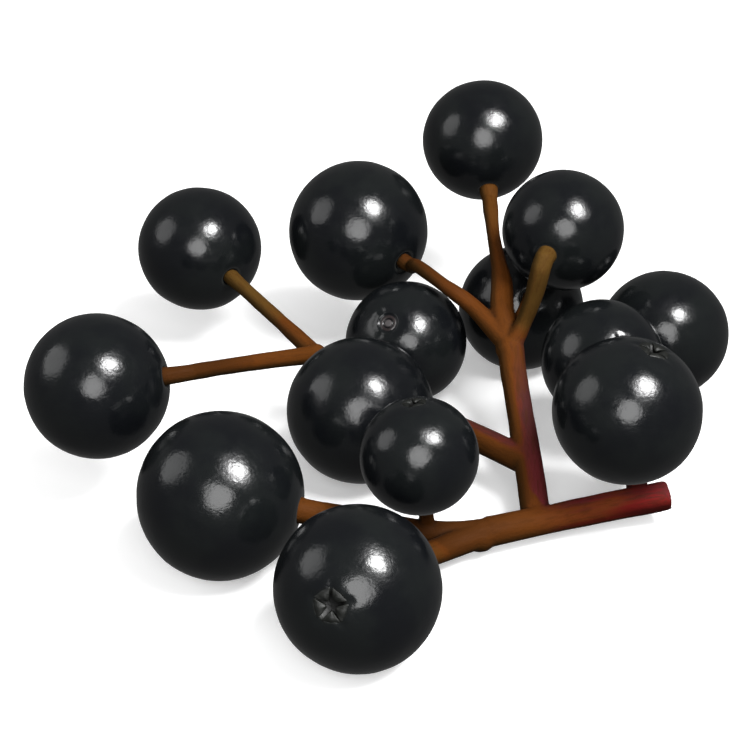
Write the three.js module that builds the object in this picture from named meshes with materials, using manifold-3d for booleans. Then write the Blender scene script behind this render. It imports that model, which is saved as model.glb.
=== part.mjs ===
// A small elderberry cluster, as picked, lying on a surface: one branching stem that
// grew as a single piece, thirteen berries on its pedicels and one berry that has come
// off. Units are millimetres. +Z is up, -Y is the side that faces the viewer, and the
// origin is under the middle of the cluster, on the surface.
import * as THREE from 'three';
import { mergeVertices } from 'three/addons/utils/BufferGeometryUtils.js';
import Module from 'manifold-3d';

// Berries: round, a little short from stalk to calyx, with a dimple where the stalk
// enters and a small crater inside the calyx ring at the other end.
const BERRY_FLATTENING = 0.99;
const BERRY_SIDES = 20;
const BERRY_BANDS = 8;
const STALK_DIMPLE_DEPTH = 0.3;
const STALK_DIMPLE_FLOOR = 0.5;
const STALK_DIMPLE_RIM = 0.9;
const CALYX_RING_RADIUS = 0.5;
const CALYX_RING_HEIGHT = 0.08;
const CALYX_CRATER_RADIUS = 0.28;
const CALYX_CRATER_DEPTH = 0.16;

// Stem: rings along every stretch between two route points, and sides round it.
const RINGS_PER_SPAN = 3;
const STEM_SIDES = 12;
const PEDICEL_SIDES = 8;
const PEDICEL_END_RADIUS = 0.42;
const TIP_GAP = 0.3;
const TIP_LEAD = 0.5;

const BERRY_COLOUR = 0x101315;
const STEM_COLOUR = 0x7a3216;

// Every berry: its middle, its radius and the way that its stalk leaves it. The ones
// marked as resting touch the surface, and the loose one has no pedicel left.
const BERRIES = [
  { name: 'berry_back_tip', middle: [5.1, 17.0, 10.2], radius: 3.5, stalk: [0.07, -0.83, -0.56] },
  { name: 'berry_upper_right', middle: [8.7, 5.9, 9.6], radius: 3.2, stalk: [-0.36, -0.93, -0.02] },
  { name: 'berry_back_middle', middle: [-2.1, 11.4, 7.0], radius: 3.95, stalk: [0.67, -0.73, -0.15] },
  { name: 'berry_back_left', middle: [-11.1, 11.6, 5.8], radius: 3.5, stalk: [0.59, -0.8, -0.14] },
  { name: 'berry_loose', middle: [0.5, 5.2, 3.3], radius: 3.3, stalk: [-0.32, -0.63, 0.71], resting: true },
  { name: 'berry_under_fork', middle: [7.0, 8.8, 3.5], radius: 3.5, stalk: [0.05, -0.8, 0.59], resting: true },
  { name: 'berry_far_right', middle: [14.5, 5.7, 3.5], radius: 3.5, stalk: [-0.05, -0.68, -0.73], resting: true },
  { name: 'berry_right_inner', middle: [10.4, 0.3, 4.9], radius: 3.15, stalk: [-0.45, 0.41, -0.79] },
  { name: 'berry_right_front', middle: [10.5, -7.4, 6.6], radius: 3.5, stalk: [-0.3, 0.2, -0.93] },
  { name: 'berry_far_left', middle: [-14.4, -5.0, 6.5], radius: 3.5, stalk: [0.98, -0.03, 0.18] },
  { name: 'berry_centre', middle: [-1.9, -2.6, 3.7], radius: 3.7, stalk: [-0.45, 0.88, 0.15], resting: true },
  { name: 'berry_small_front', middle: [0.8, -10.8, 6.3], radius: 2.7, stalk: [0.1, 0.35, -0.93] },
  { name: 'berry_left_front', middle: [-8.2, -10.4, 3.9], radius: 3.9, stalk: [0.98, -0.2, -0.08], resting: true },
  { name: 'berry_front', middle: [-1.9, -16.9, 3.6], radius: 3.6, stalk: [0.27, 0.91, -0.31], resting: true },
];

// Branches of the stem, thick to thin: route points with the radius at each one. A
// branch that names a berry runs on from its last point into that berry's dimple.
const BRANCHES = [
  { // main stem, from its cut end to the front fork
    route: [[12.9, -7.1, 1.65], [9.7, -7.6, 1.25], [7.1, -8.4, 1.15], [4.1, -9.5, 1.2]],
    radii: [0.68, 0.67, 0.65, 0.7],
  },
  { // arm to the left front berry
    route: [[4.1, -9.5, 1.2], [2.1, -9.7, 1.25], [0.5, -9.7, 1.45], [-2.5, -9.9, 2.3]],
    radii: [0.6, 0.56, 0.53, 0.54],
    berry: 'berry_left_front',
    endRadius: 0.55,
  },
  { // arm to the front berry
    route: [[4.1, -9.5, 1.2], [1.9, -10.9, 1.2], [0.5, -12.4, 1.8]],
    radii: [0.62, 0.57, 0.54],
    berry: 'berry_front',
    endRadius: 0.5,
  },
  { // stalk of the small front berry
    route: [[1.3, -9.7, 1.4], [1.2, -9.6, 2.4]],
    radii: [0.34, 0.31],
    berry: 'berry_small_front',
  },
  { // trunk, from the main stem up to the back fork
    route: [[6.5, -8.2, 1.15], [6.3, -4.9, 2.4], [6.1, -1.9, 3.3], [5.9, 1.1, 4.4], [5.9, 1.9, 4.8]],
    radii: [0.66, 0.66, 0.62, 0.65, 0.62],
  },
  { // stalk of the back tip berry, thick at its foot
    route: [[5.9, 1.9, 4.8], [5.5, 3.7, 5.9], [5.6, 5.5, 6.6], [5.5, 7.0, 7.1], [5.4, 9.5, 7.4]],
    radii: [0.56, 0.61, 0.56, 0.38, 0.33],
    berry: 'berry_back_tip',
  },
  { // stalk of the upper right berry
    route: [[5.9, 1.9, 4.8], [6.5, 2.3, 6.0], [6.9, 2.3, 7.3]],
    radii: [0.5, 0.4, 0.4],
    berry: 'berry_upper_right',
  },
  { // stalk of the back middle berry
    route: [[5.9, 1.9, 4.8], [3.9, 4.1, 6.1], [2.4, 5.0, 6.9], [1.0, 7.2, 6.95]],
    radii: [0.58, 0.42, 0.33, 0.34],
    berry: 'berry_back_middle',
  },
  { // stalk of the berry under the fork
    route: [[6.0, 2.3, 5.2]],
    radii: [0.42],
    berry: 'berry_under_fork',
    endRadius: 0.36,
  },
  { // left ray, from the trunk to the left fork
    route: [
      [6.2, -5.1, 2.3], [3.9, -3.0, 2.35], [1.8, -0.4, 1.95],
      [-0.3, 1.25, 1.85], [-2.3, 2.05, 2.9], [-4.25, 1.85, 4.4],
    ],
    radii: [0.65, 0.64, 0.55, 0.49, 0.47, 0.46],
  },
  { // stalk of the far left berry
    route: [[-4.25, 1.85, 4.4], [-7.6, -1.5, 5.75]],
    radii: [0.45, 0.37],
    berry: 'berry_far_left',
  },
  { // stalk of the back left berry
    route: [[-4.25, 1.85, 4.4], [-6.3, 5.0, 4.7]],
    radii: [0.45, 0.36],
    berry: 'berry_back_left',
  },
  { // stalk of the centre berry
    route: [[-4.1, 2.0, 4.4]],
    radii: [0.4],
    berry: 'berry_centre',
  },
  { // right ray, from the main stem back to where it parts
    route: [[11.5, -7.3, 1.45], [11.6, -4.7, 1.9]],
    radii: [0.52, 0.45],
  },
  { // stalk of the right front berry
    route: [[11.6, -4.7, 1.9], [10.4, -5.4, 2.1]],
    radii: [0.42, 0.34],
    berry: 'berry_right_front',
  },
  { // stalk of the inner right berry
    route: [[11.6, -4.7, 1.9], [10.6, -2.4, 1.2], [9.3, 0.3, 1.1]],
    radii: [0.42, 0.36, 0.33],
    berry: 'berry_right_inner',
  },
  { // stalk of the far right berry
    route: [[11.6, -4.7, 1.9], [13.2, -1.6, 0.95], [14.1, 1.0, 0.7]],
    radii: [0.42, 0.35, 0.33],
    berry: 'berry_far_right',
    endRadius: 0.36,
  },
];

// Knuckles where branches part: the middle and radius of each swelling.
const KNUCKLES = [
  { middle: [3.75, -9.65, 1.1], radius: 0.77 },
  { middle: [5.8, 1.8, 4.7], radius: 0.7 },
  { middle: [-4.25, 1.85, 4.4], radius: 0.56 },
  { middle: [11.6, -4.7, 1.9], radius: 0.52 },
];

const wasm = await Module();
wasm.setup();

function vector(values) {
  return new THREE.Vector3(...values);
}

function toSolid(geometry) {
  const bare = geometry.clone();
  bare.deleteAttribute('normal');
  bare.deleteAttribute('uv');
  const merged = mergeVertices(bare, 1e-4);
  return new wasm.Manifold(new wasm.Mesh({
    numProp: 3,
    vertProperties: new Float32Array(merged.attributes.position.array),
    triVerts: new Uint32Array(merged.index.array),
  }));
}

function toGeometry(solid) {
  const mesh = solid.getMesh();
  const geometry = new THREE.BufferGeometry();
  geometry.setAttribute('position', new THREE.BufferAttribute(mesh.vertProperties, 3));
  geometry.setIndex(new THREE.BufferAttribute(mesh.triVerts, 1));
  geometry.computeVertexNormals();
  return geometry;
}

// Half outline of a berry from the stalk dimple (bottom) to the calyx crater (top).
function berryOutline(radius) {
  const halfHeight = radius * BERRY_FLATTENING;
  const heightAt = (across) => halfHeight * Math.sqrt(1 - (across / radius) ** 2);
  const outline = [
    new THREE.Vector2(0, -halfHeight + STALK_DIMPLE_DEPTH),
    new THREE.Vector2(STALK_DIMPLE_FLOOR, -halfHeight + STALK_DIMPLE_DEPTH),
  ];
  const first = Math.asin(STALK_DIMPLE_RIM / radius);
  const last = Math.PI - Math.asin((CALYX_RING_RADIUS + CALYX_RING_HEIGHT) / radius);
  for (let band = 0; band <= BERRY_BANDS; band += 1) {
    const angle = THREE.MathUtils.lerp(first, last, band / BERRY_BANDS);
    outline.push(new THREE.Vector2(radius * Math.sin(angle), -halfHeight * Math.cos(angle)));
  }
  outline.push(
    new THREE.Vector2(CALYX_RING_RADIUS, heightAt(CALYX_RING_RADIUS) + CALYX_RING_HEIGHT),
    new THREE.Vector2(CALYX_CRATER_RADIUS, halfHeight - CALYX_CRATER_DEPTH),
    new THREE.Vector2(0, halfHeight - CALYX_CRATER_DEPTH),
  );
  return outline;
}

function settleOnSurface(mesh) {
  mesh.updateMatrixWorld(true);
  const box = new THREE.Box3().setFromObject(mesh, true);
  mesh.position.z -= box.min.z;
}

function makeBerry({ name, middle, radius, stalk, resting }) {
  const skin = new THREE.MeshStandardMaterial({ color: BERRY_COLOUR, roughness: 0.22, metalness: 0 });
  const mesh = new THREE.Mesh(new THREE.LatheGeometry(berryOutline(radius), BERRY_SIDES), skin);
  mesh.name = name;
  mesh.position.copy(vector(middle));
  const calyxWay = vector(stalk).normalize().negate();
  mesh.quaternion.setFromUnitVectors(new THREE.Vector3(0, 1, 0), calyxWay);
  if (resting) {
    settleOnSurface(mesh);
  }
  return mesh;
}

// Radius of a branch at a point along it, straight-line between its route points.
function radiusAlong(radii, t) {
  const place = t * (radii.length - 1);
  const before = Math.min(Math.floor(place), radii.length - 2);
  return THREE.MathUtils.lerp(radii[before], radii[before + 1], place - before);
}

// A turned rod whose rings are carried onto a curve, so that it tapers and bends.
function taperedRod(points, radii, sides) {
  const curve = new THREE.CatmullRomCurve3(points, false, 'centripetal');
  const rings = (points.length - 1) * RINGS_PER_SPAN;
  const outline = [new THREE.Vector2(0, 0)];
  for (let ring = 0; ring <= rings; ring += 1) {
    const t = curve.getUtoTmapping(ring / rings);
    outline.push(new THREE.Vector2(radiusAlong(radii, t), ring / rings));
  }
  outline.push(new THREE.Vector2(0, 1));
  const geometry = new THREE.LatheGeometry(outline, sides);
  const frames = curve.computeFrenetFrames(rings, false);
  const position = geometry.attributes.position;
  const vertex = new THREE.Vector3();
  for (let index = 0; index < position.count; index += 1) {
    vertex.fromBufferAttribute(position, index);
    const ring = Math.round(vertex.y * rings);
    const placed = curve.getPointAt(ring / rings)
      .addScaledVector(frames.normals[ring], vertex.x)
      .addScaledVector(frames.binormals[ring], -vertex.z);
    position.setXYZ(index, placed.x, placed.y, placed.z);
  }
  return geometry;
}

// The last two route points of a pedicel: in line with the berry's stalk, ending in
// its dimple.
function entryPoints(mesh, berry) {
  const way = vector(berry.stalk).normalize();
  const floor = berry.radius * BERRY_FLATTENING - STALK_DIMPLE_DEPTH;
  const tip = mesh.position.clone().addScaledVector(way, floor + TIP_GAP);
  return [tip.clone().addScaledVector(way, TIP_LEAD), tip];
}

function makeBranch({ route, radii, berry, endRadius = PEDICEL_END_RADIUS }, berryMeshes) {
  const points = route.map(vector);
  const widths = [...radii];
  if (berry) {
    const data = BERRIES.find((entry) => entry.name === berry);
    points.push(...entryPoints(berryMeshes.get(berry), data));
    widths.push(Math.min(radii.at(-1), endRadius), endRadius);
  }
  return taperedRod(points, widths, radii[0] > 0.5 ? STEM_SIDES : PEDICEL_SIDES);
}

function makeKnuckle({ middle, radius }) {
  return new THREE.SphereGeometry(radius, STEM_SIDES, STEM_SIDES / 2).translate(...middle);
}

function makeStem(berryMeshes) {
  const pieces = [
    ...BRANCHES.map((branch) => makeBranch(branch, berryMeshes)),
    ...KNUCKLES.map(makeKnuckle),
  ];
  const solid = pieces.map(toSolid).reduce((whole, piece) => whole.add(piece));
  const bark = new THREE.MeshStandardMaterial({ color: STEM_COLOUR, roughness: 0.55, metalness: 0 });
  const mesh = new THREE.Mesh(toGeometry(solid), bark);
  mesh.name = 'stem';
  return mesh;
}

// Puts the middle of the cluster's outline over the origin.
function centreOverOrigin(group) {
  group.updateMatrixWorld(true);
  const middle = new THREE.Box3().setFromObject(group, true).getCenter(new THREE.Vector3());
  for (const mesh of group.children) {
    mesh.position.x -= middle.x;
    mesh.position.y -= middle.y;
  }
}

const cluster = new THREE.Group();
const berries = BERRIES.map(makeBerry);
const berryMeshes = new Map(berries.map((mesh) => [mesh.name, mesh]));
cluster.add(...berries, makeStem(berryMeshes));
centreOverOrigin(cluster);

export default cluster;
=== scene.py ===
"""Looks of a small elderberry cluster lying on a surface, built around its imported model.

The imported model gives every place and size: the middle, radius and stalk direction of each
berry are measured on its node, and the stem is grown from a copy of its node. Lengths are
metres. +Z is up and -Y is the side that faces the viewer. A berry is first modelled at unit
radius, with its calyx towards +Z and its stalk towards -Z.
"""
import heapq
import logging
import math
from collections.abc import Callable, Iterator
from contextlib import contextmanager
from dataclasses import dataclass
from enum import Enum
from typing import Any

import bmesh
import bpy
import numpy as np
from mathutils import Matrix, Vector, noise


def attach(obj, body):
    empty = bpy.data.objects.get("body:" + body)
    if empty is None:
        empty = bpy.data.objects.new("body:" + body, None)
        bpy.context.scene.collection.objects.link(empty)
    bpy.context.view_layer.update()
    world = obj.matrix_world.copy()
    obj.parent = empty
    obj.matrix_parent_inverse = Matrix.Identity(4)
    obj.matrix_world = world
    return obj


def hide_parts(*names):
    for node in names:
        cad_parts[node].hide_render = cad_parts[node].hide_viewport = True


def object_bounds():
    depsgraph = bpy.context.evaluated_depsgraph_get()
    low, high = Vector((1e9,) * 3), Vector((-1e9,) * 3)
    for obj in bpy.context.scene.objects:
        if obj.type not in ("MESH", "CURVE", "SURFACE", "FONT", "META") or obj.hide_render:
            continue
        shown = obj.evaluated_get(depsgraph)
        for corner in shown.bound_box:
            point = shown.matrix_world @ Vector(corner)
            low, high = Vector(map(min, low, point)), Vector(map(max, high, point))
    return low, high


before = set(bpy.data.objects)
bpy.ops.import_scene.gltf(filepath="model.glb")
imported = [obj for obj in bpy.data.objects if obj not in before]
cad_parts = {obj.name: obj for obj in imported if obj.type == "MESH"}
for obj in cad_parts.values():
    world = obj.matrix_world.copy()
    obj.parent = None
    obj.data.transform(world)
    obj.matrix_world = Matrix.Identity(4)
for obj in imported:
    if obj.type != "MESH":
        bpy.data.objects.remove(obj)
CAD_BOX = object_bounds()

log = logging.getLogger("elderberry")

MILLIMETRE = 0.001
BODY = "root"
STEM_NODE = "stem"
SEPALS = 5
Colour = tuple[float, float, float]
Triple = tuple[float, float, float]
Pairs = tuple[tuple[float, float], ...]
Array = np.ndarray
Piece = bpy.types.Object
Socket = bpy.types.NodeSocket


class Pole(Enum):
    """The two ends of a berry, by the sign of Z on the unit berry."""

    CALYX = 1
    STALK = -1


class StalkEnd(Enum):
    """What is left where the pedicel meets the berry."""

    DIMPLE = "dimple"
    SCAR = "scar"


class Slot(Enum):
    """The record's material slots."""

    BERRY_SKIN = "berry_skin"
    STEM_BARK = "stem_bark"


# ---------------------------------------------------------------- hand tools


def deselect_all() -> None:
    """Leaves nothing selected in the scene."""
    bpy.ops.object.select_all(action="DESELECT")


def activate(piece: Piece) -> None:
    """Makes one piece the only selected and the active one.

    Args:
        piece: the object.
    """
    deselect_all()
    piece.select_set(True)
    bpy.context.view_layer.objects.active = piece


@contextmanager
def editing(piece: Piece, mode: str = "VERT") -> Iterator[None]:
    """Opens a piece in edit mode with nothing selected, and closes it afterwards.

    Args:
        piece: the mesh object to edit.
        mode: the select mode, VERT, EDGE or FACE.

    Returns:
        A context in which the piece is in edit mode.
    """
    activate(piece)
    bpy.ops.object.mode_set(mode="EDIT")
    bpy.ops.mesh.select_mode(type=mode)
    bpy.ops.mesh.select_all(action="DESELECT")
    yield
    bpy.ops.object.mode_set(mode="OBJECT")


def pick(piece: Piece, kind: str, rule: Callable[[Any], bool]) -> None:
    """Selects, in edit mode, just the parts of a mesh that fit a rule.

    Args:
        piece: the mesh object being edited.
        kind: verts, edges or faces.
        rule: tells whether one vertex, edge or face is selected.
    """
    shape = bmesh.from_edit_mesh(piece.data)
    for part in getattr(shape, kind):
        part.select_set(bool(rule(part)))
    shape.select_flush_mode()
    bmesh.update_edit_mesh(piece.data)


def apply_modifier(piece: Piece, kind: str, **settings: object) -> None:
    """Adds a modifier to a piece and applies it.

    Args:
        piece: the object that is finished.
        kind: the modifier's type, as Blender names it.
        settings: values set on the modifier before it is applied.
    """
    activate(piece)
    modifier = piece.modifiers.new(kind.lower(), kind)
    for name, value in settings.items():
        setattr(modifier, name, value)
    bpy.ops.object.modifier_apply(modifier=modifier.name)


def subdivide_smooth(piece: Piece, levels: int) -> None:
    """Applies a Subdivision Surface of the given levels."""
    apply_modifier(piece, "SUBSURF", levels=levels, render_levels=levels)


def join(pieces: list[Piece]) -> Piece:
    """Joins pieces into the first of them.

    Args:
        pieces: the objects to join.

    Returns:
        The first object, which now holds them all.
    """
    activate(pieces[0])
    for piece in pieces[1:]:
        piece.select_set(True)
    bpy.ops.object.join()
    return pieces[0]


def set_attribute(mesh: bpy.types.Mesh, name: str, values: Array) -> None:
    """Stores one number, or one vector, for every vertex.

    Args:
        mesh: the mesh that takes the attribute.
        name: the attribute's name, which materials read.
        values: an array of N numbers or of N by 3.
    """
    kind, field = ("FLOAT", "value") if values.ndim == 1 else ("FLOAT_VECTOR", "vector")
    attribute = mesh.attributes.get(name) or mesh.attributes.new(name, kind, "POINT")
    attribute.data.foreach_set(field, values.astype(np.float32).ravel())


def vectors(items: bpy.types.bpy_prop_collection, field: str = "co") -> Array:
    """Reads one vector of every item.

    Args:
        items: a mesh's vertices or vertex normals.
        field: the name of the vector on each item.

    Returns:
        An array of N by 3.
    """
    values = np.empty(len(items) * 3, np.float32)
    items.foreach_get(field, values)
    return values.reshape(-1, 3).astype(float)


def dress_piece(piece: Piece, finish: bpy.types.Material, node: str) -> None:
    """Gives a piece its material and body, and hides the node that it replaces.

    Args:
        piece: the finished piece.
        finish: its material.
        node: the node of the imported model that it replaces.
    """
    piece.data.materials.clear()
    piece.data.materials.append(finish)
    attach(piece, BODY)
    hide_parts(node)


def smooth_step(low: float, high: float, value: Array) -> Array:
    """0 below low and 1 above high, with a soft change between them."""
    share = np.clip((value - low) / (high - low), 0, 1)
    return share * share * (3 - 2 * share)


# ---------------------------------------------------------------- node groups


@dataclass
class NodeBench:
    """A small helper that places and links nodes in one tree."""

    tree: bpy.types.NodeTree

    def add(self, kind: str, **settings: object) -> bpy.types.Node:
        """Adds a node.

        Args:
            kind: the node's type, as Blender names it.
            settings: properties set on it.

        Returns:
            The node.
        """
        node = self.tree.nodes.new(kind)
        for name, value in settings.items():
            setattr(node, name, value)
        return node

    def link(self, source: Socket, target: Socket) -> None:
        """Links one socket to another."""
        self.tree.links.new(source, target)

    def feed(self, target: Socket, value: object) -> None:
        """Links a socket into the target, or sets a plain value on it."""
        if isinstance(value, Socket):
            self.link(value, target)
        else:
            target.default_value = value

    def maths(self, operation: str, *values: object) -> Socket:
        """Adds a Math node.

        Args:
            operation: what it works out, as Blender names it.
            values: the numbers or sockets that it takes.

        Returns:
            The socket with the result.
        """
        node = self.add("ShaderNodeMath", operation=operation)
        for socket, value in zip(node.inputs, values):
            self.feed(socket, value)
        return node.outputs[0]

    def ranged(self, value: object, low: float, high: float,
               out_low: float = 0.0, out_high: float = 1.0) -> Socket:
        """Carries a value from one range to another, softly and clamped.

        Args:
            value: the number or socket to carry over.
            low: the value that gives out_low.
            high: the value that gives out_high.
            out_low: the result at and below low.
            out_high: the result at and above high.

        Returns:
            The socket with the result.
        """
        node = self.add("ShaderNodeMapRange", interpolation_type="SMOOTHSTEP")
        for socket, number in zip(node.inputs, (value, low, high, out_low, out_high)):
            self.feed(socket, number)
        return node.outputs[0]

    def mixed(self, share: object, first: object, second: object) -> Socket:
        """Mixes two colours.

        Args:
            share: how much of the second colour there is, from 0 to 1.
            first: a colour or socket.
            second: a colour or socket.

        Returns:
            The socket with the mixed colour.
        """
        node = self.add("ShaderNodeMix", data_type="RGBA")
        self.feed(node.inputs["Factor"], share)
        for name, value in (("A", first), ("B", second)):
            socket = [s for s in node.inputs if s.name == name and s.type == "RGBA"][0]
            self.feed(socket, (*value, 1.0) if isinstance(value, tuple) else value)
        return [s for s in node.outputs if s.type == "RGBA"][0]

    def attribute(self, name: str, output: str = "Fac") -> Socket:
        """Adds an Attribute node for one of the piece's own attributes."""
        return self.add("ShaderNodeAttribute", attribute_name=name).outputs[output]

    def clouds(self, place: object, scale: object, detail: float,
               **settings: object) -> bpy.types.Node:
        """Adds a Noise Texture node.

        Args:
            place: the socket that it is read at.
            scale: how fine it is, a number or socket.
            detail: how many finer layers it has.
            settings: properties set on the node.

        Returns:
            The node.
        """
        node = self.add("ShaderNodeTexNoise", **settings)
        self.feed(node.inputs["Vector"], place)
        self.feed(node.inputs["Scale"], scale)
        node.inputs["Detail"].default_value = detail
        return node

    def bump(self, height: Socket, distance: float) -> Socket:
        """Adds a Bump node.

        Args:
            height: the socket with the height from 0 to 1.
            distance: the full height in metres.

        Returns:
            The socket with the normal.
        """
        node = self.add("ShaderNodeBump")
        node.inputs["Distance"].default_value = distance
        self.link(height, node.inputs["Height"])
        return node.outputs[0]

    def group(self, tree: bpy.types.NodeTree, **values: object) -> Socket:
        """Places a node group.

        Args:
            tree: the group.
            values: a number or socket for each of its inputs, by name.

        Returns:
            The socket with its result.
        """
        node = self.add("ShaderNodeGroup", node_tree=tree)
        for name, value in values.items():
            self.feed(node.inputs[name], value)
        return node.outputs[0]


def new_group(name: str, inputs: dict[str, str], outputs: dict[str, str]) -> bpy.types.NodeTree:
    """Makes an empty shader node group with named sockets.

    Args:
        name: the group's name.
        inputs: socket names with Float, Vector or Color.
        outputs: socket names with Float, Vector or Color.

    Returns:
        The new node tree.
    """
    tree = bpy.data.node_groups.new(name, "ShaderNodeTree")
    for way, sockets in (("INPUT", inputs), ("OUTPUT", outputs)):
        for socket, kind in sockets.items():
            tree.interface.new_socket(socket, in_out=way, socket_type="NodeSocket" + kind)
    return tree


def new_material(name: str) -> tuple[bpy.types.Material, NodeBench, bpy.types.Node]:
    """Makes a material.

    Args:
        name: the material's name.

    Returns:
        The material, a bench on its nodes and its shader.
    """
    material = bpy.data.materials.new(name)
    material.use_nodes = True
    bench = NodeBench(material.node_tree)
    return material, bench, bench.tree.nodes["Principled BSDF"]


def build_mottling_group() -> bpy.types.NodeTree:
    """Builds cloudy patches from 0 to 1 over a piece, for uneven colour and gloss.

    Returns:
        The node group.
    """
    tree = new_group("mottling", {"Vector": "Vector", "Scale": "Float"}, {"Value": "Float"})
    bench = NodeBench(tree)
    given = bench.add("NodeGroupInput")
    result = bench.add("NodeGroupOutput")
    clouds = bench.clouds(given.outputs["Vector"], given.outputs["Scale"], detail=4.0)
    bench.link(bench.ranged(clouds.outputs[0], 0.35, 0.65), result.inputs["Value"])
    return tree


def build_streak_group() -> bpy.types.NodeTree:
    """Builds lengthwise streaks from 0 to 1, which follow a branch and change round it.

    Returns:
        The node group.
    """
    tree = new_group(
        "lengthwise streaks",
        {"Grain": "Vector", "Along": "Float", "Count": "Float", "Stretch": "Float"},
        {"Value": "Float"},
    )
    bench = NodeBench(tree)
    given = bench.add("NodeGroupInput")
    result = bench.add("NodeGroupOutput")
    streaks = bench.clouds(given.outputs["Grain"], given.outputs["Count"], detail=3.0,
                           noise_dimensions="4D")
    drift = bench.maths("MULTIPLY", given.outputs["Along"], given.outputs["Stretch"])
    bench.link(drift, streaks.inputs["W"])
    bench.link(bench.ranged(streaks.outputs[0], 0.3, 0.7), result.inputs["Value"])
    return tree


# ---------------------------------------------------------------- finishes


@dataclass(frozen=True)
class BerrySkinFinish:
    """Ripe berry skin: near black and glossy, with a dark olive calyx and a brown scar. Painted
    shade darkens the calyx pit and a painted highlight rings the stalk dimple.
    """

    mottling: bpy.types.NodeTree
    ink: Colour = (0.0036, 0.0041, 0.0050)
    slate: Colour = (0.0056, 0.0066, 0.0068)
    olive: Colour = (0.0034, 0.0040, 0.0030)
    # Near black in the calyx pit: painted shade in the recess under the sepals.
    pit: Colour = (0.0005, 0.0005, 0.0004)
    scar_brown: Colour = (0.014, 0.0095, 0.0095)
    mauve: Colour = (0.040, 0.035, 0.036)
    # Pale grey ring round the stalk dimple: a painted highlight on its rim.
    rim_highlight_grey: Colour = (0.024, 0.025, 0.023)
    mottle_scale: float = 420.0
    gloss_scale: float = 1500.0
    wobble_scale: float = 6000.0
    wobble_height: float = 0.0090 * MILLIMETRE
    calyx_wrinkling: float = 1.2
    smooth_roughness: float = 0.15
    dull_roughness: float = 0.21
    # How much rougher each marked part is than plain skin.
    extra_roughness: tuple[tuple[str, float], ...] = (
        ("rim", 0.25), ("scar", 0.30), ("calyx", 0.32),
    )
    refraction: float = 1.46

    def make(self) -> bpy.types.Material:
        """Builds the material.

        Returns:
            The berry skin, with its calyx and scar colours, painted shade in the calyx pit and a
            painted highlight on the dimple's rim.
        """
        material, bench, shader = new_material("berry_skin")
        shader.inputs["IOR"].default_value = self.refraction
        place = bench.add("ShaderNodeTexCoord").outputs["Object"]
        patches = bench.group(self.mottling, Vector=place, Scale=self.mottle_scale)
        specks = bench.group(self.mottling, Vector=place, Scale=self.gloss_scale)
        masks = {name: bench.attribute(name) for name in ("calyx", "pit", "scar", "rim")}
        colour = bench.mixed(patches, self.ink, self.slate)
        # The rim's pale grey is a painted highlight and the pit's near black is painted shade;
        # the scar and calyx colours are the skin's own.
        for mask, tone in ((masks["rim"], self.rim_highlight_grey),
                           (bench.ranged(masks["scar"], 0.0, 0.5), self.scar_brown),
                           (bench.ranged(masks["scar"], 0.5, 1.0), self.mauve),
                           (masks["calyx"], self.olive), (masks["pit"], self.pit)):
            colour = bench.mixed(mask, colour, tone)
        bench.link(colour, shader.inputs["Base Color"])
        gloss = bench.ranged(specks, 0.0, 1.0, self.smooth_roughness, self.dull_roughness)
        for name, extra in self.extra_roughness:
            gloss = bench.maths("ADD", gloss, bench.maths("MULTIPLY", masks[name], extra))
        bench.link(gloss, shader.inputs["Roughness"])
        waves = bench.clouds(place, self.wobble_scale, detail=3.0)
        wrinkled = bench.maths("MULTIPLY_ADD", masks["calyx"], self.calyx_wrinkling, 1.0)
        height = bench.maths("MULTIPLY", waves.outputs[0], wrinkled)
        bench.link(bench.bump(height, self.wobble_height), shader.inputs["Normal"])
        return material


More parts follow.
